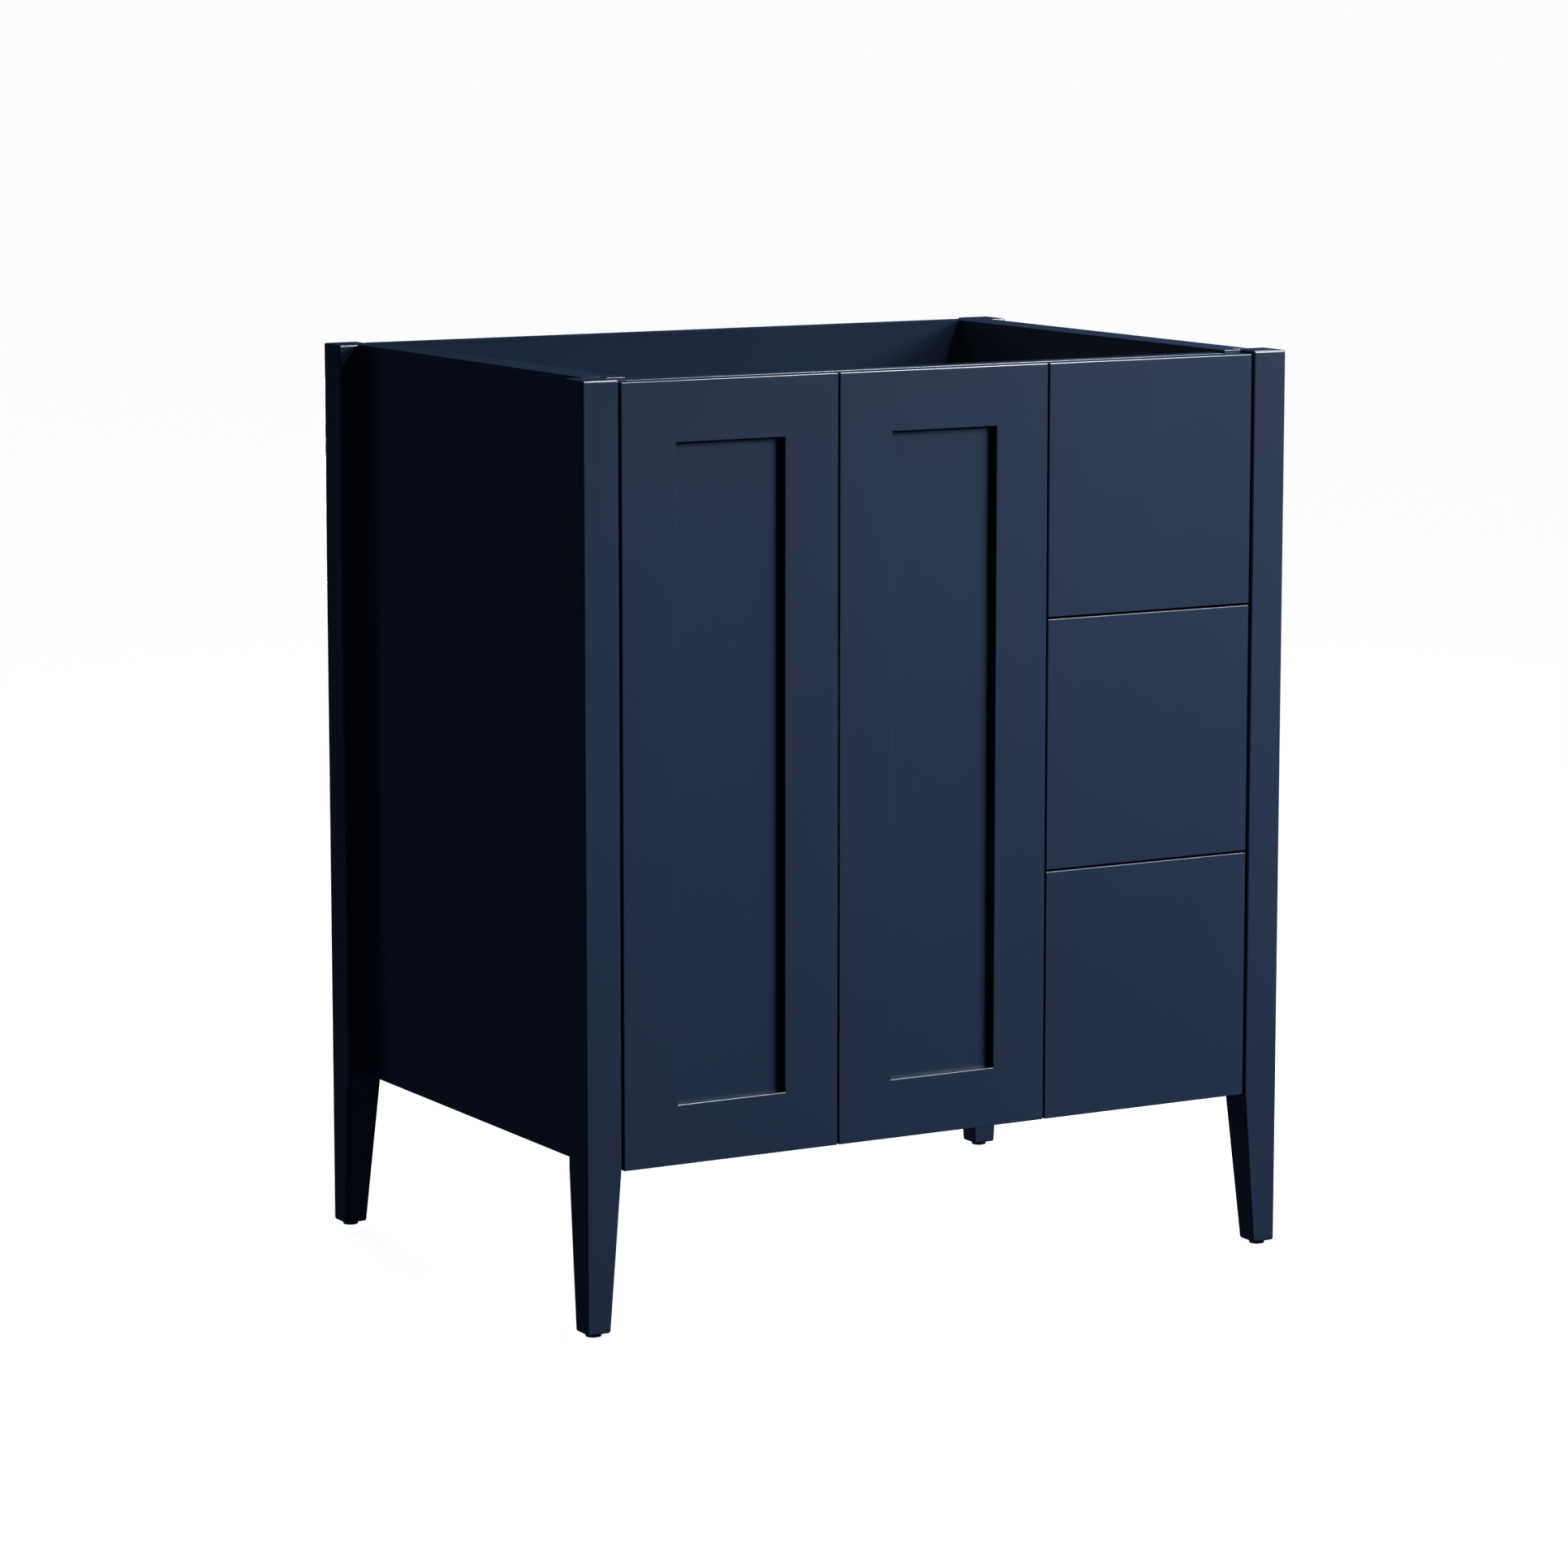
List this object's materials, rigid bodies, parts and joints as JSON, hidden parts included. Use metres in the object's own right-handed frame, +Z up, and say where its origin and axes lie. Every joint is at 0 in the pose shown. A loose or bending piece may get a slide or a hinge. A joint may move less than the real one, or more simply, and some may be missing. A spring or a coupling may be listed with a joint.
{
  "type": "bathroom vanity cabinet",
  "caption": "Free-standing bathroom vanity cabinet without a top: post legs, two inset shaker doors over a sink bay and a column of slab-front drawers, painted navy.",
  "frame": {"origin": "on the floor, under the middle of the cabinet's bounding box", "axes": "+X to the right seen from the front, +Y back towards the wall, +Z up; the doors and drawers face -Y"},
  "size_m": [0.76, 0.54, 0.876],
  "materials": {
    "navy_paint": "satin navy paint on board",
    "birch_ply": "clear-lacquered birch plywood",
    "nickel_steel": "nickel-plated steel",
    "zinc_steel": "zinc-plated steel",
    "clear_bumper": "milky soft polyurethane dots",
    "black_plastic": "moulded black plastic"
  },
  "bodies": {
    "root": {"front_left_leg": "navy_paint", "front_left_glide": "black_plastic", "front_right_leg": "navy_paint", "front_right_glide": "black_plastic", "rear_right_leg": "navy_paint", "rear_right_glide": "black_plastic", "rear_left_leg": "navy_paint", "rear_left_glide": "black_plastic", "left_side_panel": "navy_paint", "right_side_panel": "navy_paint", "cabinet_floor": "navy_paint", "partition": "navy_paint", "front_rail": "navy_paint", "back_panel": "navy_paint", "left_door_upper_hinge_arm": "nickel_steel", "left_door_lower_hinge_arm": "nickel_steel", "right_door_upper_hinge_arm": "nickel_steel", "right_door_lower_hinge_arm": "nickel_steel", "top_drawer_left_cabinet_slide": "zinc_steel", "top_drawer_right_cabinet_slide": "zinc_steel", "middle_drawer_left_cabinet_slide": "zinc_steel", "middle_drawer_right_cabinet_slide": "zinc_steel", "bottom_drawer_left_cabinet_slide": "zinc_steel", "bottom_drawer_right_cabinet_slide": "zinc_steel"},
    "left_door": {"left_door_left_stile": "navy_paint", "left_door_right_stile": "navy_paint", "left_door_bottom_rail": "navy_paint", "left_door_top_rail": "navy_paint", "left_door_panel": "navy_paint", "left_door_upper_hinge_cup": "nickel_steel", "left_door_lower_hinge_cup": "nickel_steel"},
    "right_door": {"right_door_left_stile": "navy_paint", "right_door_right_stile": "navy_paint", "right_door_bottom_rail": "navy_paint", "right_door_top_rail": "navy_paint", "right_door_panel": "navy_paint", "right_door_upper_hinge_cup": "nickel_steel", "right_door_lower_hinge_cup": "nickel_steel"},
    "top_drawer": {"top_drawer_front": "navy_paint", "top_drawer_left_side": "birch_ply", "top_drawer_right_side": "birch_ply", "top_drawer_back": "birch_ply", "top_drawer_bottom": "birch_ply", "top_drawer_left_drawer_slide": "zinc_steel", "top_drawer_right_drawer_slide": "zinc_steel"},
    "middle_drawer": {"middle_drawer_front": "navy_paint", "middle_drawer_left_side": "birch_ply", "middle_drawer_right_side": "birch_ply", "middle_drawer_back": "birch_ply", "middle_drawer_bottom": "birch_ply", "middle_drawer_left_drawer_slide": "zinc_steel", "middle_drawer_right_drawer_slide": "zinc_steel"},
    "bottom_drawer": {"bottom_drawer_front": "navy_paint", "bottom_drawer_left_side": "birch_ply", "bottom_drawer_right_side": "birch_ply", "bottom_drawer_back": "birch_ply", "bottom_drawer_bottom": "birch_ply", "bottom_drawer_left_drawer_slide": "zinc_steel", "bottom_drawer_right_drawer_slide": "zinc_steel"}
  },
  "joints": [
    {"name": "left_door_hinge", "type": "hinge", "parent": "root", "child": "left_door", "pos_m": [-0.339, -0.2674, 0.513], "axis": [0, 0, -1], "range_deg": [0, 105]},
    {"name": "right_door_hinge", "type": "hinge", "parent": "root", "child": "right_door", "pos_m": [0.1089, -0.2674, 0.513], "axis": [0, 0, 1], "range_deg": [0, 90]},
    {"name": "top_drawer_slide", "type": "slide", "parent": "root", "child": "top_drawer", "axis": [0, -1, 0], "range_m": [0, 0.34]},
    {"name": "middle_drawer_slide", "type": "slide", "parent": "root", "child": "middle_drawer", "axis": [0, -1, 0], "range_m": [0, 0.34]},
    {"name": "bottom_drawer_slide", "type": "slide", "parent": "root", "child": "bottom_drawer", "axis": [0, -1, 0], "range_m": [0, 0.34]}
  ]
}
